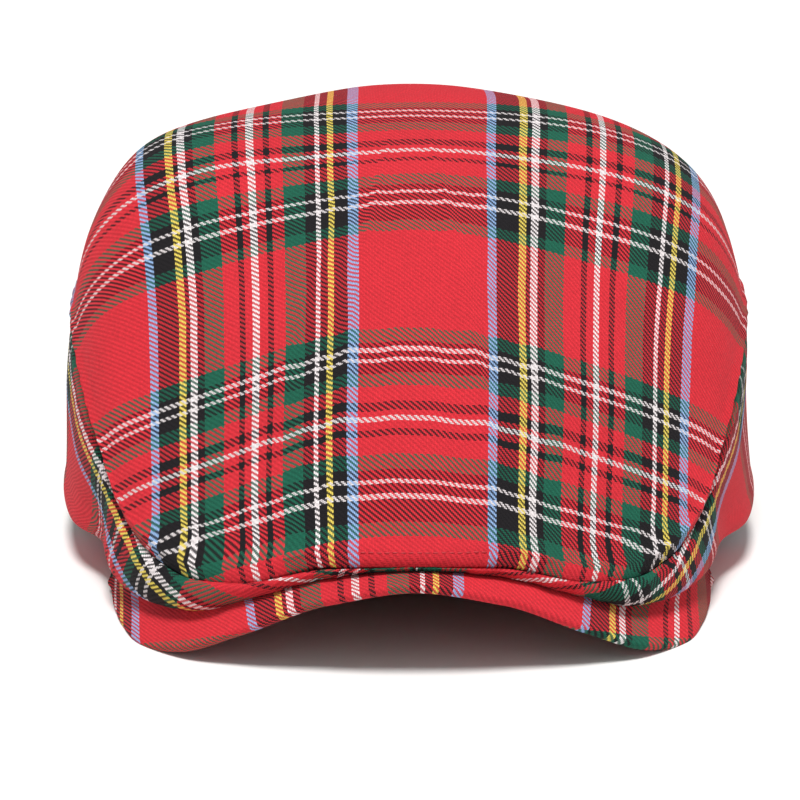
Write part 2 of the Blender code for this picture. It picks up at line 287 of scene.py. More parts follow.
# Sections round the cap, turning from the middle front (0) past the side (90) to the back (180),
# in shares of the crown's half length, half width and height
COLUMNS = ("turn", "shelf_out", "shelf_up", "on_peak", "rim_up", "slope", "bulge_out", "bulge_up",
           "square", "meet", "seam", "tuck", "peak_out", "peak_up")
SECTIONS = (
    (0,     0.975, 0.215, 1.0, 0.280,  4, 1.000, 0.235, 0.000, 1.00, 0.000, 0.6, 1.000, 0.207),
    (12.5,  0.983, 0.192, 1.0, 0.270, 10, 1.004, 0.226, 0.022, 1.00, 0.000, 0.6, 1.004, 0.171),
    (25,    1.000, 0.131, 1.0, 0.240, 30, 1.025, 0.184, 0.100, 1.00, 0.000, 0.6, 1.026, 0.087),
    (34,    1.003, 0.085, 1.0, 0.210, 52, 1.034, 0.165, 0.140, 0.92, 0.010, 0.6, 1.046, 0.030),
    (41,    0.998, 0.077, 1.0, 0.180, 62, 1.030, 0.160, 0.160, 0.78, 0.080, 0.7, 1.040, 0.010),
    (48,    0.978, 0.075, 1.0, 0.150, 65, 1.015, 0.155, 0.175, 0.60, 0.170, 0.8, 0.998, 0.010),
    (54,    0.952, 0.073, 1.0, 0.120, 66, 1.000, 0.150, 0.185, 0.45, 0.245, 1.0, 0.956, 0.012),
    (61,    0.925, 0.070, 0.7, 0.085, 50, 0.988, 0.150, 0.195, 0.28, 0.335, 1.2, 0.917, 0.026),
    (75,    0.920, 0.055, 0.0, 0.050,  0, 0.985, 0.150, 0.202, 0.08, 0.395, 1.6, 0.917, 0.040),
    (90,    0.900, 0.035, 0.0, 0.030,  0, 1.000, 0.160, 0.205, 0.00, 0.400, 1.6, 0.917, 0.040),
    (120,   0.900, 0.000, 0.0, 0.003,  0, 1.040, 0.200, 0.225, 0.00, 0.415, 1.2, 0.917, 0.040),
    (150,   0.900, 0.000, 0.0, 0.000,  0, 1.030, 0.230, 0.275, 0.00, 0.420, 0.8, 0.917, 0.040),
    (180,   0.900, 0.000, 0.0, 0.000,  0, 1.000, 0.240, 0.300, 0.00, 0.420, 0.7, 0.917, 0.040),
)
TABLE = np.array(SECTIONS, float)


def column_slopes(turns, values):
    """Slopes of a smooth curve through a column that never swings past the column's values."""
    step = np.diff(turns)
    rate = np.diff(values) / step
    slope = np.zeros(len(values))
    for i in range(1, len(values) - 1):
        if rate[i - 1] * rate[i] > 0:
            near = 2 * step[i] + step[i - 1]
            far = step[i] + 2 * step[i - 1]
            slope[i] = (near + far) / (near / rate[i - 1] + far / rate[i])
    return slope


SLOPES = np.stack([column_slopes(TABLE[:, 0], column) for column in TABLE.T], 1)


def hermite(start, end, leave, arrive, t):
    return ((2 * t**3 - 3 * t**2 + 1) * start + (t**3 - 2 * t**2 + t) * leave
            + (3 * t**2 - 2 * t**3) * end + (t**3 - t**2) * arrive)


def bezier(a, b, c, d, t):
    return (1 - t)**3 * a + 3 * (1 - t)**2 * t * b + 3 * (1 - t) * t**2 * c + t**3 * d


def unit(vectors):
    return vectors / np.linalg.norm(vectors, axis=-1, keepdims=True)


def raised(plan, up):
    """A plan point with its height."""
    return np.concatenate([plan, up], -1)


def section(turn):
    """The table's columns at any turn. The two sides of the cap mirror each other."""
    turn = np.abs((turn + 180) % 360 - 180)
    row = np.clip(np.searchsorted(TABLE[:, 0], turn, side="right") - 1, 0, len(TABLE) - 2)
    step = (TABLE[row + 1, 0] - TABLE[row, 0])[..., None]
    t = (turn - TABLE[row, 0])[..., None] / step
    values = hermite(TABLE[row], TABLE[row + 1], SLOPES[row] * step, SLOPES[row + 1] * step, t)
    return {name: values[..., i:i + 1] for i, name in enumerate(COLUMNS)}


def outline(turn, width, length, setback=0.0):
    """An oval in plan."""
    angle = np.radians(turn)
    return np.stack([np.sin(angle) * width / 2, setback - np.cos(angle) * length / 2], -1)


def head_line(turn, clearance):
    """The outer face of the sweatband in plan, grown by a clearance."""
    return outline(turn, HEAD_WIDTH + 2 * clearance, HEAD_LENGTH + 2 * clearance, HEAD_SETBACK)


def crease(turn):
    """The line under the crown's lower edge, with the ways down and out of what it lies on."""
    s = section(turn)
    rim = head_line(turn, GAP + WALL)
    shelf = outline(turn, CROWN_WIDTH, CROWN_LENGTH) * s["shelf_out"]
    plan = rim + (shelf - rim) * s["on_peak"]
    up = s["rim_up"] + (s["shelf_up"] - s["rim_up"]) * s["on_peak"]
    outward = unit(outline(turn, CROWN_LENGTH, CROWN_WIDTH))
    slope = np.radians(s["slope"])
    down = raised(outward * np.cos(slope), -np.sin(slope))
    away = raised(outward * np.sin(slope), np.cos(slope))
    return raised(plan, up * CROWN_HEIGHT), down, away, s


# Points on the line over the middle
MIDDLE_POINTS = 201


def middle_line():
    """The crown's line over its middle, as places along the cap and heights."""
    start = np.array([-CROWN_LENGTH / 2, TABLE[0, COLUMNS.index("bulge_up")] * CROWN_HEIGHT])
    end = np.array([TOP_SETBACK, CROWN_HEIGHT])
    rise = end[1] - start[1]
    climb = np.array([1 / np.tan(np.radians(FRONT_STEEPNESS)), 1]) * rise * FRONT_HOLD
    level = np.array([end[0] - start[0], 0]) * TOP_HOLD
    t = np.linspace(0, 1, MIDDLE_POINTS)[:, None]
    return bezier(start, start + climb, end - level, end, t).T


MIDDLE_LINE = middle_line()


def crown(turn, share):
    """The crown's outer face. Share -1 is its lower edge, 0 its widest line and 1 its top."""
    turn, share = np.broadcast_arrays(turn, share)
    under, down, away, s = crease(turn)
    edge = under + away * GAP * s["on_peak"]
    bulge = raised(outline(turn, CROWN_WIDTH, CROWN_LENGTH) * s["bulge_out"],
                   s["bulge_up"] * CROWN_HEIGHT)
    inward = 1 - np.clip(share, 0, 1)[..., None]**(1 + CORNER_PACE * s["square"])
    arch = (1 - inward**SHOULDER_POWER)**s["square"]
    lean = 1 - WALL_LEAN * s["square"] * arch
    plan = [0, TOP_SETBACK] + (bulge[..., :2] - [0, TOP_SETBACK]) * inward * lean
    over = np.interp(plan[..., 1:], *MIDDLE_LINE)
    step = np.interp(bulge[..., 1:2], *MIDDLE_LINE) - bulge[..., 2:]
    over = over - step * s["meet"] * inward**MEET_FADE
    upper = raised(plan, bulge[..., 2:] + (over - bulge[..., 2:]) * arch)
    drop = np.linalg.norm(bulge - edge, axis=-1, keepdims=True)
    roll = raised(unit(outline(turn, CROWN_LENGTH, CROWN_WIDTH)) * ROLL, -np.ones_like(drop))
    tuck = unit(-down * s["tuck"] - away)
    low = np.clip(-share, 0, 1)[..., None]
    rolled = bulge + unit(roll) * drop * BULGE_HOLD
    lower = bezier(bulge, rolled, edge - tuck * drop * TUCK_HOLD, edge, low)
    return np.where(share[..., None] < 0, lower, upper)


# Steps that a curve is measured in
FINE_STEPS = 400

# The scripted form is level with the frame's: its back is where the frame's back is
back_line = crown(180.0, np.linspace(-1, 1, FINE_STEPS))
SHIFT = np.array([0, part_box("side_panel_right")[1][1] - back_line[:, 1].max(), 0])


def run_length(points, axis):
    """Distance along rows of points from the start of an axis."""
    step = np.linalg.norm(np.diff(points, axis=axis), axis=-1)
    start = np.zeros_like(np.take(step, [0], axis))
    return np.concatenate([start, np.cumsum(step, axis)], axis)


def even_shares(surface, turns, low, high, count):
    """Shares that cut each section of a surface into even steps between two shares."""
    fine = low[:, None] + (high - low)[:, None] * np.linspace(0, 1, FINE_STEPS)**2
    length = run_length(surface(turns[:, None], fine), 1)
    goal = length[:, -1:] * np.linspace(0, 1, count)
    return np.array([np.interp(*row) for row in zip(goal, length, fine)])


def refine(values, times, wraps=False):
    """Rows of values with smooth ones between them, so that there are that many times more."""
    if wraps:
        padded = np.concatenate([values[-1:], values, values[:2]])
    else:
        first = 2 * values[:1] - values[1:2]
        last = 2 * values[-1:] - values[-2:-1]
        padded = np.concatenate([first, values, last])
    t = (np.arange(times) / times).reshape(1, -1, *[1] * (values.ndim - 1))
    a, b, c, d = [padded[i:len(padded) - 3 + i, None] for i in range(4)]
    between = hermite(b, c, (c - a) / 2, (d - b) / 2, t)
    between = between.reshape(-1, *values.shape[1:])
    return between if wraps else np.concatenate([between, values[-1:]])


# How many times finer the panels' meshes are than those on which the cloth is laid flat
FINER = 4


def finer(grid, wraps=False):
    """A grid of values with smooth ones between them, both ways."""
    return refine(refine(grid, FINER, wraps).swapaxes(0, 1), FINER).swapaxes(0, 1)


def grid_cells(rows, columns, wraps):
    """The four corners of every cell of a grid of points, as indices."""
    steps = np.arange(rows if wraps else rows - 1)
    i, j = np.meshgrid(steps, np.arange(columns - 1), indexing="ij")
    a = (i * columns + j).ravel()
    b = ((i + 1) % rows * columns + j).ravel()
    return np.stack([a, b, b + 1, a + 1], 1)


def grid_triangles(rows, columns, wraps):
    """Triangles of a grid of points, as indices."""
    cells = grid_cells(rows, columns, wraps)
    return np.concatenate([cells[:, :3], cells[:, [0, 2, 3]]])


# The least stiffness of an edge, which keeps long thin triangles from turning over
LEAST_STIFFNESS = 1e-3


def flatten(points, faces, start, rounds=60):
    """Lays a curved panel flat with as little stretch as can be, as its cloth was cut.

    Each round turns every triangle to fit its place, then moves all points to suit the triangles.
    """
    corner = points[faces]
    along = corner[:, 1] - corner[:, 0]
    other = corner[:, 2] - corner[:, 0]
    axis = unit(along)
    reach = (other * axis).sum(1)
    rise = np.linalg.norm(other - axis * reach[:, None], axis=1)
    flat = np.zeros((len(faces), 3, 2))
    flat[:, 1, 0] = np.linalg.norm(along, axis=1)
    flat[:, 2, 0] = reach
    placed = start[faces]
    turn = np.cross(placed[:, 1] - placed[:, 0], placed[:, 2] - placed[:, 0])
    flat[:, 2, 1] = rise * np.sign(turn.sum())
    size = len(points)
    stiff = np.full((size, size), 1 / size)
    edges = []
    for k in range(3):
        i, j = (k + 1) % 3, (k + 2) % 3
        one, two = flat[:, i] - flat[:, k], flat[:, j] - flat[:, k]
        weight = (one * two).sum(1) / np.maximum(np.abs(np.cross(one, two)), 1e-12)
        weight = np.maximum(weight, LEAST_STIFFNESS)
        for a, b, sign in ((i, i, 1), (j, j, 1), (i, j, -1), (j, i, -1)):
            np.add.at(stiff, (faces[:, a], faces[:, b]), sign * weight)
        edges.append((i, j, weight[:, None], flat[:, i] - flat[:, j]))
    solve = np.linalg.inv(stiff)
    laid = start - start.mean(0)
    for _ in range(rounds):
        cosine, sine = np.zeros(len(faces)), np.zeros(len(faces))
        for i, j, weight, edge in edges:
            now = (laid[faces[:, i]] - laid[faces[:, j]]) * weight
            cosine += (now * edge).sum(1)
            sine += edge[:, 0] * now[:, 1] - edge[:, 1] * now[:, 0]
        angle = np.arctan2(sine, cosine)
        c, s = np.cos(angle)[:, None], np.sin(angle)[:, None]
        pull = np.zeros((size, 2))
        for i, j, weight, edge in edges:
            turned = weight * np.concatenate([edge[:, :1] * c - edge[:, 1:] * s,
                                              edge[:, :1] * s + edge[:, 1:] * c], 1)
            np.add.at(pull, faces[:, i], turned)
            np.add.at(pull, faces[:, j], -turned)
        laid = solve @ pull
    return laid


def outward(points, wraps):
    """Directions out of a grid's face, for a grid that turns round the cap from low to high."""
    if wraps:
        across = np.roll(points, -1, 0) - np.roll(points, 1, 0)
    else:
        across = np.gradient(points, axis=0)
    return unit(np.cross(across, np.gradient(points, axis=1)))


# Waves that run all ways through each other: how many there are, how close they lie, how far
# apart they start and what their sum is divided by
WAVE_COUNT = 24
WAVE_PACE = 2.2
WAVE_STARTS = 9
WAVE_SUM = 3.4
WAVES = np.random.default_rng(7).normal(size=(WAVE_COUNT, 4))


def rumple(points, length):
    """Soft uneven swells of a few to each length, between about -1 and 1."""
    phase = points @ (WAVES[:, :3].T * WAVE_PACE / length) + WAVES[:, 3] * WAVE_STARTS
    return np.sin(phase).sum(-1) / WAVE_SUM


# An edge of the cloth shows as an edge where it turns by more than this, in degrees
SHARP_TURN = 60


def cloth_piece(name, outer, inner, flat, wraps, tip=None):
    """A wall of cloth with its right side out, lined inside.

    Outer and inner are grids of points, flat is where each outer point lay in the uncut cloth, and
    tip closes the top of a grid that wraps round, as its outer point, inner point and flat place.
    """
    rows, columns = outer.shape[:2]
    count = rows * columns
    points = np.concatenate([outer.reshape(-1, 3), inner.reshape(-1, 3)])
    laid = np.concatenate([flat.reshape(-1, 2)] * 2)
    right = grid_cells(rows, columns, wraps)
    wrong = right[:, ::-1] + count
    low = np.arange(rows if wraps else rows - 1) * columns
    low_next = (low + columns) % count
    high = low + columns - 1
    high_next = low_next + columns - 1
    rims = [np.stack([low, low + count, low_next + count, low_next], 1)]
    if tip is None:
        rims.append(np.stack([high, high_next, high_next + count, high + count], 1))
    if not wraps:
        first = np.arange(columns - 1)
        last = first + (rows - 1) * columns
        rims.append(np.stack([first, first + 1, first + 1 + count, first + count], 1))
        rims.append(np.stack([last, last + count, last + 1 + count, last + 1], 1))
    faces = np.concatenate([right, *rims, wrong]).tolist()
    inside = [False] * (len(faces) - len(wrong)) + [True] * len(wrong)
    if tip is not None:
        points = np.concatenate([points, [tip[0], tip[1]]])
        laid = np.concatenate([laid, [tip[2], tip[2]]])
        for one, two in zip(high.tolist(), high_next.tolist()):
            faces += [(one, two, 2 * count), (two + count, one + count, 2 * count + 1)]
            inside += [False, True]
    mesh = bpy.data.meshes.new(name)
    points = points + SHIFT
    points[:, 2] = np.maximum(points[:, 2], 0)
    mesh.from_pydata(points.tolist(), [], faces)
    mesh.materials.append(tartan)
    mesh.materials.append(lining)
    mesh.polygons.foreach_set("material_index", np.array(inside, int))
    corners = np.empty(len(mesh.loops), int)
    mesh.loops.foreach_get("vertex_index", corners)
    mesh.uv_layers.new(name="Cloth").data.foreach_set("uv", laid[corners].ravel())
    mesh.shade_smooth()
    mesh.set_sharp_from_angle(angle=np.radians(SHARP_TURN))
    piece = bpy.data.objects.new(name, mesh)
    bpy.context.collection.objects.link(piece)
    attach(piece, "root")
    return piece


# How deep and how wide the furrow at a seam is, and how far this panel stands out beside it
FURROW_DEPTH = 0.0014
FURROW_WIDTH = 0.0016
TOP_WELT = 0.0011

# How high the cloth puckers beside a seam and how far apart, how far from the seam the puckers
# start and die out, and over what length they are uneven
PUCKER = 0.00035
PUCKER_LENGTH = 0.0085
PUCKER_START = 0.002
PUCKER_FADE = 0.006
PUCKER_DRIFT = 0.03

# How high the slack cloth swells, over what length, and how far from a seam it is free to
SWELL = 0.0007
SWELL_LENGTH = 0.05
SWELL_START = 0.02

# The slack cloth stands up in a small fold on the left shoulder, is fuller on the right one, and
# is drawn in low at both sides, where it nears the peak
FOLDS = (
    # place, rise and spread
    ((-0.074, 0.029, 0.106), 0.0018, 0.014),
    ((0.0895, 0.028, 0.098), 0.0028, 0.026),
    ((-0.096, -0.052, 0.016), -0.0045, 0.015),
    ((0.096, -0.052, 0.016), -0.0035, 0.015),
)


# A small step round the cap, in degrees, or up it, in shares
STEP = 0.02


def seam_facing(turns):
    """Directions straight out of the crown along the seam round the top panel."""
    share = section(turns)["seam"][..., 0]
    across = crown(turns + STEP, share) - crown(turns - STEP, share)
    return unit(np.cross(across, crown(turns, share + STEP) - crown(turns, share - STEP)))


def sewn(points, wraps, from_seam, from_top_seam, facing, welt):
    """A face of the crown as it hangs: rolled in at its seams, puckered beside them, and uneven.

    The welt is how far it stands out next to its furrow.
    """
    near = np.exp(-(from_top_seam / FURROW_WIDTH)**2)[..., None]
    away = unit(outward(points, wraps) * (1 - near) + facing[:, None] * near)
    furrow = -FURROW_DEPTH * np.exp(-(from_seam / FURROW_WIDTH)**2)
    roll = welt * np.exp(-((from_seam - 2 * FURROW_WIDTH) / FURROW_WIDTH)**2)
    along_seam = run_length(points[:, :1], 0)
    drift = 2 * rumple(points, PUCKER_DRIFT)
    pucker = PUCKER * np.sin(along_seam / PUCKER_LENGTH * 2 * np.pi + drift)
    pucker = pucker * np.exp(-from_seam / PUCKER_FADE) * np.clip(from_seam / PUCKER_START, 0, 1)
    uneven = SWELL * rumple(points, SWELL_LENGTH) * np.clip(from_seam / SWELL_START, 0, 1)
    lift = furrow + roll + pucker + uneven
    for place, rise, spread in FOLDS:
        lift = lift + rise * np.exp(-(np.linalg.norm(points - place, axis=-1) / spread)**2)
    outer = points + away * lift[..., None]
    inner = outer - away * WALL
    return outer, inner


# Shares off the seam line among which a panel's edge is looked for
SEAM_SEARCH = np.linspace(0, 0.2, 101)


def seam_share(turns, side):
    """Crown shares just above the seam line (side 1) or just below it (side -1)."""
    share = section(turns)["seam"] + side * SEAM_SEARCH
    length = run_length(crown(turns[:, None], share), 1)
    return np.array([np.interp(GAP / 2, *line) for line in zip(length, share)])


# Steps round the panel and from its seam to its middle, on which it is laid flat
TOP_TURNS = 72
TOP_STEPS = 26

# Where the middle of the cap lies in the stripes of the warp, in metres
TOP_STRIPE_SETOFF = -0.0026

# How far the cloth is stretched across the cap over the wearer's head
TOP_STRETCH = 1.065

# Over the top of the cap the cloth is also stretched lengthwise: by what share, from how far
# behind the front seam, and how gradually
TOP_EASE = 0.126
TOP_EASE_FROM = 0.125
TOP_EASE_LENGTH = 0.008

turns = np.arange(TOP_TURNS) * 360 / TOP_TURNS
low = seam_share(turns, 1)
shares = even_shares(crown, turns, low, np.ones(TOP_TURNS), TOP_STEPS)[:, :-1]
coarse = crown(turns[:, None], shares)
top = crown(np.array(0.0), np.array(1.0))
tops = np.broadcast_to(top, coarse[:, :1].shape)
to_top = run_length(np.concatenate([coarse, tops], 1)[:, ::-1], 1)
way = unit(coarse[:, :1, :2] - top[:2])
start = way * to_top[:, :0:-1, None]
faces = grid_triangles(TOP_TURNS, TOP_STEPS - 1, True)
ring = np.arange(TOP_TURNS) * (TOP_STEPS - 1) + TOP_STEPS - 2
middle = np.full(TOP_TURNS, TOP_TURNS * (TOP_STEPS - 1))
faces = np.concatenate([faces, np.stack([ring, np.roll(ring, -1), middle], 1)])
laid = flatten(np.concatenate([coarse.reshape(-1, 3), [top]]), faces,
               np.concatenate([start.reshape(-1, 2), [[0, 0]]]))
laid = (laid - laid[0]) / [TOP_STRETCH, 1] + [TOP_STRIPE_SETOFF, 0]
past = laid[:, 1] - TOP_EASE_FROM
laid[:, 1] -= TOP_EASE * (past + np.hypot(past, TOP_EASE_LENGTH)) / 2
tip_flat = laid[-1]
laid = laid[:-1].reshape(TOP_TURNS, TOP_STEPS - 1, 2)
flat = finer(laid, True)
turns = np.arange(TOP_TURNS * FINER) * 360 / (TOP_TURNS * FINER)
shares = finer(shares, True)
shares[:, 0] = seam_share(turns, 1)
points = crown(turns[:, None], shares)
from_seam = run_length(points, 1)
outer, inner = sewn(points, True, from_seam, from_seam, seam_facing(turns), TOP_WELT)
tip = (outer[:, -1].mean(0), inner[:, -1].mean(0), tip_flat)
piece = cloth_piece("top_panel_cloth", outer, inner, flat, True, tip)
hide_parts("top_panel")


# Topstitches
# A short row of small machine stitches in red thread, which holds the top panel's seam allowance
# down just above the middle of the front seam.

# From stitch to stitch, their length and thickness, how far above the seam the row runs, and where
# round the cap it starts and ends, in degrees
STITCH_PITCH = 0.0021
STITCH_LENGTH = 0.0015
STITCH_RADIUS = 0.00022
STITCH_SETBACK = 0.003
STITCH_TURNS = (-7.5, 10.0)

step = 360 / (TOP_TURNS * FINER)
rows = np.arange(round(STITCH_TURNS[0] / step), round(STITCH_TURNS[1] / step) + 1)
line = np.array([[np.interp(STITCH_SETBACK, from_seam[i], outer[i, :, k]) for k in range(3)]
                 for i in rows])
guide = bpy.data.meshes.new("stitch_line")
guide.from_pydata((line + SHIFT).tolist(), [(i, i + 1) for i in range(len(rows) - 1)], [])
stitches = bpy.data.objects.new("topstitches", guide)
bpy.context.collection.objects.link(stitches)

# Twisted thread, a little darker and smoother than the cloth's red yarns
thread = bpy.data.materials.new("Red sewing thread")
thread.use_nodes = True
thread.node_tree.nodes["Principled BSDF"].inputs["Base Color"].default_value = linear("#B5242E")
thread.node_tree.nodes["Principled BSDF"].inputs["Roughness"].default_value = 0.6

tree = bpy.data.node_groups.new("Stitch row", "GeometryNodeTree")
tree.interface.new_socket("Geometry", in_out="INPUT", socket_type="NodeSocketGeometry")
for size_name in ("Pitch", "Length", "Radius"):
    tree.interface.new_socket(size_name, in_out="INPUT", socket_type="NodeSocketFloat")
tree.interface.new_socket("Geometry", in_out="OUTPUT", socket_type="NodeSocketGeometry")
sizes_in = tree.nodes.new("NodeGroupInput")
path = tree.nodes.new("GeometryNodeMeshToCurve")
places = tree.nodes.new("GeometryNodeResampleCurve")
places.mode = "LENGTH"
along = tree.nodes.new("GeometryNodeInputTangent")
aim = tree.nodes.new("FunctionNodeAlignRotationToVector")
aim.axis = "Z"
bead = tree.nodes.new("GeometryNodeMeshUVSphere")
bead.inputs["Segments"].default_value = 10
bead.inputs["Rings"].default_value = 8
half_length = tree.nodes.new("ShaderNodeMath")
half_length.operation = "MULTIPLY"
half_length.inputs[1].default_value = 0.5
bead_size = tree.nodes.new("ShaderNodeCombineXYZ")
drawn = tree.nodes.new("GeometryNodeTransform")
row = tree.nodes.new("GeometryNodeInstanceOnPoints")
real = tree.nodes.new("GeometryNodeRealizeInstances")
threaded = tree.nodes.new("GeometryNodeSetMaterial")
threaded.inputs["Material"].default_value = thread
smooth = tree.nodes.new("GeometryNodeSetShadeSmooth")
row_out = tree.nodes.new("NodeGroupOutput")
for source, target in (
    (sizes_in.outputs["Geometry"], path.inputs["Mesh"]),
    (path.outputs["Curve"], places.inputs["Curve"]),
    (sizes_in.outputs["Pitch"], places.inputs["Length"]),
    (along.outputs["Tangent"], aim.inputs["Vector"]),
    (sizes_in.outputs["Length"], half_length.inputs[0]),
    (sizes_in.outputs["Radius"], bead_size.inputs[0]),
    (sizes_in.outputs["Radius"], bead_size.inputs[1]),
    (half_length.outputs[0], bead_size.inputs[2]),
    (bead.outputs["Mesh"], drawn.inputs["Geometry"]),
    (bead_size.outputs[0], drawn.inputs["Scale"]),
    (places.outputs["Curve"], row.inputs["Points"]),
    (drawn.outputs["Geometry"], row.inputs["Instance"]),
    (aim.outputs["Rotation"], row.inputs["Rotation"]),
    (row.outputs["Instances"], smooth.inputs["Geometry"]),
    (smooth.outputs["Geometry"], real.inputs["Geometry"]),
    (real.outputs["Geometry"], threaded.inputs["Geometry"]),
    (threaded.outputs["Geometry"], row_out.inputs["Geometry"]),
):
    tree.links.new(source, target)
sewing = stitches.modifiers.new("Stitch row", "NODES")
sewing.node_group = tree
stitch_sizes = {"Pitch": STITCH_PITCH, "Length": STITCH_LENGTH, "Radius": STITCH_RADIUS}
for socket in tree.interface.items_tree:
    if socket.name in stitch_sizes:
        sewing[socket.identifier] = stitch_sizes[socket.name]

# The row is kept as plain mesh
evaluated = stitches.evaluated_get(bpy.context.evaluated_depsgraph_get())
stitch_row = bpy.data.meshes.new_from_object(evaluated)
stitches.modifiers.remove(sewing)
stitches.data = stitch_row
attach(stitches, "root")


# Side panels
# Two long strips of the same tartan. Each runs from the middle of the back round its side and
# across the front, where it shows as a narrow rolled band under the top panel, to the middle.

# Steps along each strip and across it, on which it is laid flat
SIDE_TURNS = 60
SIDE_STEPS = 12

# The gap between the two strips where they meet
END_GAP = 1.1 * GAP

# Which side each strip is on, and where it was cut from the cloth: how far its edge at the seam
# lies from the middle of a wide red stripe, and how far along the cloth it lies
SIDE_CUTS = {"left": (-1, 0.035, 0.012), "right": (1, 0.034, 0.03)}

# Between these two steps the strip's edge at the seam follows the warp
FORE = SIDE_TURNS // 5
MIDST = SIDE_TURNS // 2

for side_name, (side, setoff, setout) in SIDE_CUTS.items():
    clear = np.degrees(END_GAP / CROWN_WIDTH)
    turns = np.linspace(clear, 180 - clear, SIDE_TURNS + 1)
    shares = even_shares(crown, turns, -np.ones(SIDE_TURNS + 1), seam_share(turns, -1), SIDE_STEPS)
    coarse = crown(turns[:, None] * side, shares)
    across = run_length(coarse, 1)
    along = run_length(coarse[:, -1:], 0) + 0 * across
    start = np.stack([side * (across[:, -1:] - across), along], -1)
    laid = flatten(coarse.reshape(-1, 3), grid_triangles(SIDE_TURNS + 1, SIDE_STEPS, False),
                   start.reshape(-1, 2)).reshape(start.shape)
    reach = laid[MIDST, -1] - laid[FORE, -1]
    tilt = np.arctan2(reach[0], reach[1])
    turn_back = np.array([[np.cos(tilt), np.sin(tilt)], [-np.sin(tilt), np.cos(tilt)]])
    laid = (laid - laid[FORE, -1]) @ turn_back + [-side * setoff, setout]
    flat = finer(laid)
    turns = np.linspace(clear, 180 - clear, SIDE_TURNS * FINER + 1)
    shares = finer(shares)
    shares[:, -1] = seam_share(turns, -1)
    points = crown(turns[:, None] * side, shares)
    from_top = run_length(points[:, ::-1], 1)[:, ::-1]
    from_front = run_length(points, 0)
    from_back = run_length(points[::-1], 0)[::-1]
    from_seam = np.minimum(from_top, np.minimum(from_front, from_back))
    facing = seam_facing(turns * side)

    # The left strip is turned round, so that both face out
    if side < 0:
        points, from_seam, from_top = points[::-1], from_seam[::-1], from_top[::-1]
        flat, facing = flat[::-1], facing[::-1]
    outer, inner = sewn(points, False, from_seam, from_top, facing, 0)
    piece = cloth_piece("side_panel_" + side_name + "_cloth", outer, inner, flat, False)
    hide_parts("side_panel_" + side_name)


# Peak
# A stiff crescent covered with the same tartan, its cloth turned under its front edge. It is
# arched, so the cap stands on its two low sides.

# How much further the front edge reaches than its columns in the table say, how thick the peak is,
# and where round the cap it ends on each side, in degrees
PEAK_REACH = 0.0045
PEAK_THICKNESS = 0.0026
PEAK_END = 61.0

# Where the crease under the crown lies between the peak's inner edge and its front, as a share
CREASE_SHARE = 0.5

# How far the rounded front edge stands out, for each unit of the peak's thickness
NOSE = 0.4

# Steps from end to end, from the sweatband to the front, and round the front edge
PEAK_TURNS = 48
PEAK_STEPS = 14
PEAK_EDGE_STEPS = 7

# Where the middle of the cap lies in the stripes of the warp, in metres
PEAK_STRIPE_SETOFF = -0.030

# Where the peak's front edge lies along the cloth, and how far the weft is eased forward towards
# the ends as the cover is stretched over the peak, for each square metre off the middle
PEAK_SETOUT = -0.021
PEAK_EASE = 4.2


def peak_top(turn, share):
    """The peak's top face. Share 0 is its inner edge at the sweatband and 1 its front edge."""
    turn, share = np.broadcast_arrays(turn, share)
    under, down, away, s = crease(turn)
    inner = raised(head_line(turn, GAP), s["rim_up"] * CROWN_HEIGHT)
    reach = outline(turn, CROWN_WIDTH, CROWN_LENGTH + 2 * PEAK_REACH) * s["peak_out"]
    reach[..., 0] *= 1 + 2 * PEAK_REACH / CROWN_LENGTH
    front = raised(reach, s["peak_up"] * CROWN_HEIGHT)
    back_length = np.linalg.norm(under - inner, axis=-1, keepdims=True)
    fore_length = np.linalg.norm(front - under, axis=-1, keepdims=True)
    t = share[..., None] / CREASE_SHARE
    back = hermite(inner, under, under - inner, down * back_length, np.clip(t, 0, 1))
    fore = hermite(under, front, down * fore_length, front - under, np.clip(t - 1, 0, 1))
    return np.where(t < 1, back, fore)


turns = np.linspace(-PEAK_END, PEAK_END, PEAK_TURNS + 1)
shares = even_shares(peak_top, turns, 0 * turns, 0 * turns + 1, PEAK_STEPS)
coarse = peak_top(turns[:, None], shares)
laid = flatten(coarse.reshape(-1, 3), grid_triangles(PEAK_TURNS + 1, PEAK_STEPS, False),
               coarse[..., :2].reshape(-1, 2)).reshape(*coarse.shape[:2], 2)
laid = laid - laid[PEAK_TURNS // 2, -1]
laid[..., 1] -= PEAK_EASE * laid[..., 0]**2
laid = laid + [PEAK_STRIPE_SETOFF, PEAK_SETOUT]
flat = finer(laid)
turns = np.linspace(-PEAK_END, PEAK_END, PEAK_TURNS * FINER + 1)
shares = finer(shares)
over = peak_top(turns[:, None], np.clip(shares, 0, 1))
# Share rises towards the front here, so the grid's own way out points into the peak
into = outward(over, False)
below = over + into * PEAK_THICKNESS
below[:, 0] = over[:, 0] - [0, 0, PEAK_THICKNESS]
forward = unit(over[:, -1] - over[:, -2])
turned = np.linspace(0, np.pi, PEAK_EDGE_STEPS + 2)[1:-1]
middle = (over[:, -1] + below[:, -1]) / 2
half = (over[:, -1] - below[:, -1]) / 2
nose = (middle[:, None] + half[:, None] * np.cos(turned)[:, None]
        + forward[:, None] * np.sin(turned)[:, None] * PEAK_THICKNESS * NOSE)
skin = np.concatenate([over, nose, below[:, ::-1]], 1)
skin[..., 2] = np.maximum(skin[..., 2], 0)
step = unit(flat[:, -1] - flat[:, -2])[:, None]
round_skin = run_length(skin, 1)
front = over.shape[1]
beyond = round_skin[:, front:] - round_skin[:, front - 1:front]
skin_flat = np.concatenate([flat, flat[:, -1:] + step * beyond[..., None]], 1)

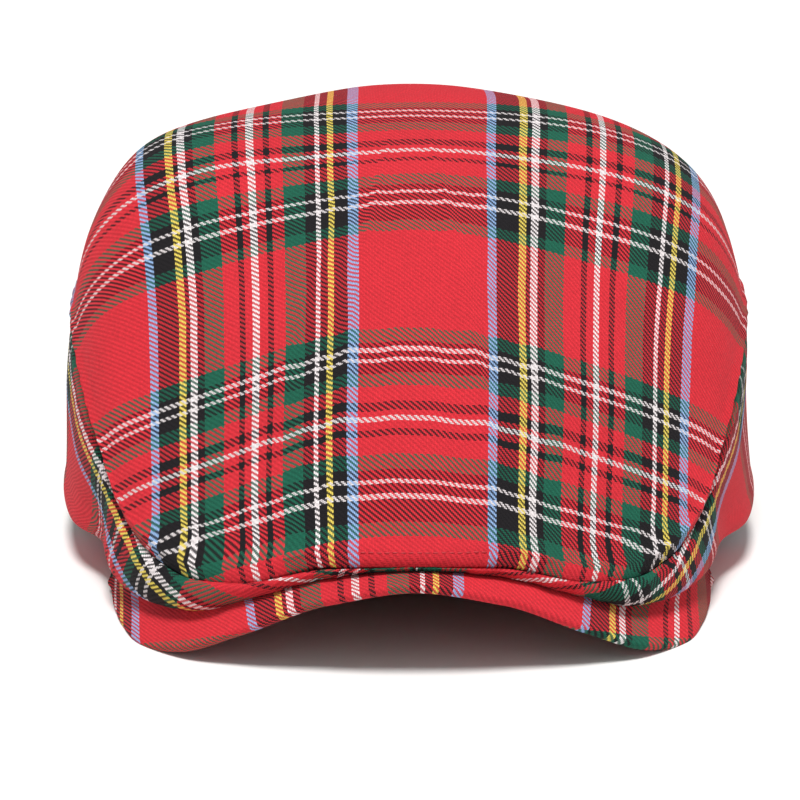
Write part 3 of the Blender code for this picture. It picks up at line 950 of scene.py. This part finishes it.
rows, columns = skin.shape[:2]
index = np.arange(rows * columns).reshape(rows, columns)
quads = np.stack([index[:-1], index[1:], np.roll(index, -1, 1)[1:], np.roll(index, -1, 1)[:-1]], -1)
faces = quads.reshape(-1, 4)[:, ::-1].tolist() + [index[0].tolist(), index[-1][::-1].tolist()]
mesh = bpy.data.meshes.new("peak_cloth")
mesh.from_pydata((skin.reshape(-1, 3) + SHIFT).tolist(), [], faces)
mesh.materials.append(tartan)
corners = np.empty(len(mesh.loops), int)
mesh.loops.foreach_get("vertex_index", corners)
mesh.uv_layers.new(name="Cloth").data.foreach_set("uv", skin_flat.reshape(-1, 2)[corners].ravel())
mesh.shade_smooth()
piece = bpy.data.objects.new("peak_cloth", mesh)
bpy.context.collection.objects.link(piece)
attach(piece, "root")
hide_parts("peak")


# Sweatband
# A dark strip of plain cloth, cut straight and sewn by its lower edge inside the rim, all round the
# head opening. It stands up against the inside of the crown and the inner edge of the peak.

# How high and how thick it is, and how far above the rim its lower edge lies
SWEATBAND_HEIGHT = 0.026
SWEATBAND_THICKNESS = 0.0012
SWEATBAND_INSET = 0.001

# Steps round it and rows up it, and the turn, in degrees, beyond which an edge shows
SWEATBAND_TURNS = 180
SWEATBAND_ROWS = 9
SWEATBAND_SHARP_TURN = 50

turns = np.arange(SWEATBAND_TURNS) * 360 / SWEATBAND_TURNS
s = section(turns)
low = s["rim_up"] * CROWN_HEIGHT - PEAK_THICKNESS * s["on_peak"] + SWEATBAND_INSET
heights = [low + SWEATBAND_HEIGHT * share for share in np.linspace(0, 1, SWEATBAND_ROWS)]
out = np.stack([raised(head_line(turns, 0), height) for height in heights], 1)
inside = head_line(turns, -SWEATBAND_THICKNESS)
back = np.stack([raised(inside, height) for height in heights], 1)
band = np.concatenate([out, back[:, ::-1]], 1)
rows, columns = band.shape[:2]
index = np.arange(rows * columns).reshape(rows, columns)
after = np.roll(index, -1, 0)
quads = np.stack([index, after, np.roll(after, -1, 1), np.roll(index, -1, 1)], -1)
mesh = bpy.data.meshes.new("sweatband_cloth")
mesh.from_pydata((band.reshape(-1, 3) + SHIFT).tolist(), [], quads.reshape(-1, 4).tolist())
mesh.materials.append(plain_cloth("Sweatband cloth", "#1C1415"))
mesh.shade_smooth()
mesh.set_sharp_from_angle(angle=np.radians(SWEATBAND_SHARP_TURN))
piece = bpy.data.objects.new("sweatband_cloth", mesh)
bpy.context.collection.objects.link(piece)
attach(piece, "root")
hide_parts("sweatband")


# Floor, lights and camera
# A white studio table, lit from high up in front, with a weaker light from each side. The lights
# are broad, so that the shadows on the table are soft.

FLOOR_SIZE = 8.0

bpy.ops.mesh.primitive_plane_add(size=FLOOR_SIZE)
floor = bpy.context.object
floor.name = "floor"

# Matt paper, nearly white, which takes soft shadows
paper = bpy.data.materials.new("White studio paper")
paper.use_nodes = True
paper.node_tree.nodes["Principled BSDF"].inputs["Base Color"].default_value = linear("#F4F2F0")
paper.node_tree.nodes["Principled BSDF"].inputs["Roughness"].default_value = 0.9
floor.data.materials.append(paper)

LIGHTS = (
    # name, turn from the front in degrees, height in degrees, spread in degrees, strength
    ("key", -6, 74, 16, 3.15),
    ("left fill", -70, 35, 80, 0.25),
    ("right fill", 70, 35, 80, 0.35),
)
for name, turn, height, spread, strength in LIGHTS:
    lamp = bpy.data.lights.new(name, "SUN")
    lamp.angle = np.radians(spread)
    lamp.energy = strength
    box = bpy.data.objects.new(name, lamp)
    turn, height = np.radians(turn), np.radians(height)
    way = Vector((np.sin(turn) * np.cos(height), -np.cos(turn) * np.cos(height), np.sin(height)))
    box.location = way
    box.rotation_euler = way.to_track_quat("Z", "Y").to_euler()
    bpy.context.collection.objects.link(box)

# The white room gives a weak light from all round
ROOM_STRENGTH = 0.26
world = bpy.data.worlds.new("Studio")
world.use_nodes = True
world.node_tree.nodes["Background"].inputs["Color"].default_value = linear("#FFFFFF")
world.node_tree.nodes["Background"].inputs["Strength"].default_value = ROOM_STRENGTH
bpy.context.scene.world = world
bpy.context.scene.view_settings.view_transform = "Standard"

# The camera looks down at the cap's front from a little to the left. Its place is from the crown's
# middle, in metres, and its focal length is in millimetres.
CAMERA_PLACE = (-0.01016, -0.76563, 0.24614)
LOOK_DOWN = np.radians(15)
LOOK_ACROSS = np.radians(0.56)
FOCAL_LENGTH = 118.8
camera = bpy.data.objects.new("camera", bpy.data.cameras.new("camera"))
camera.data.lens = FOCAL_LENGTH
camera.location = CAMERA_PLACE + SHIFT
camera.rotation_euler = (np.pi / 2 - LOOK_DOWN, 0, -LOOK_ACROSS)
bpy.context.collection.objects.link(camera)
bpy.context.scene.camera = camera
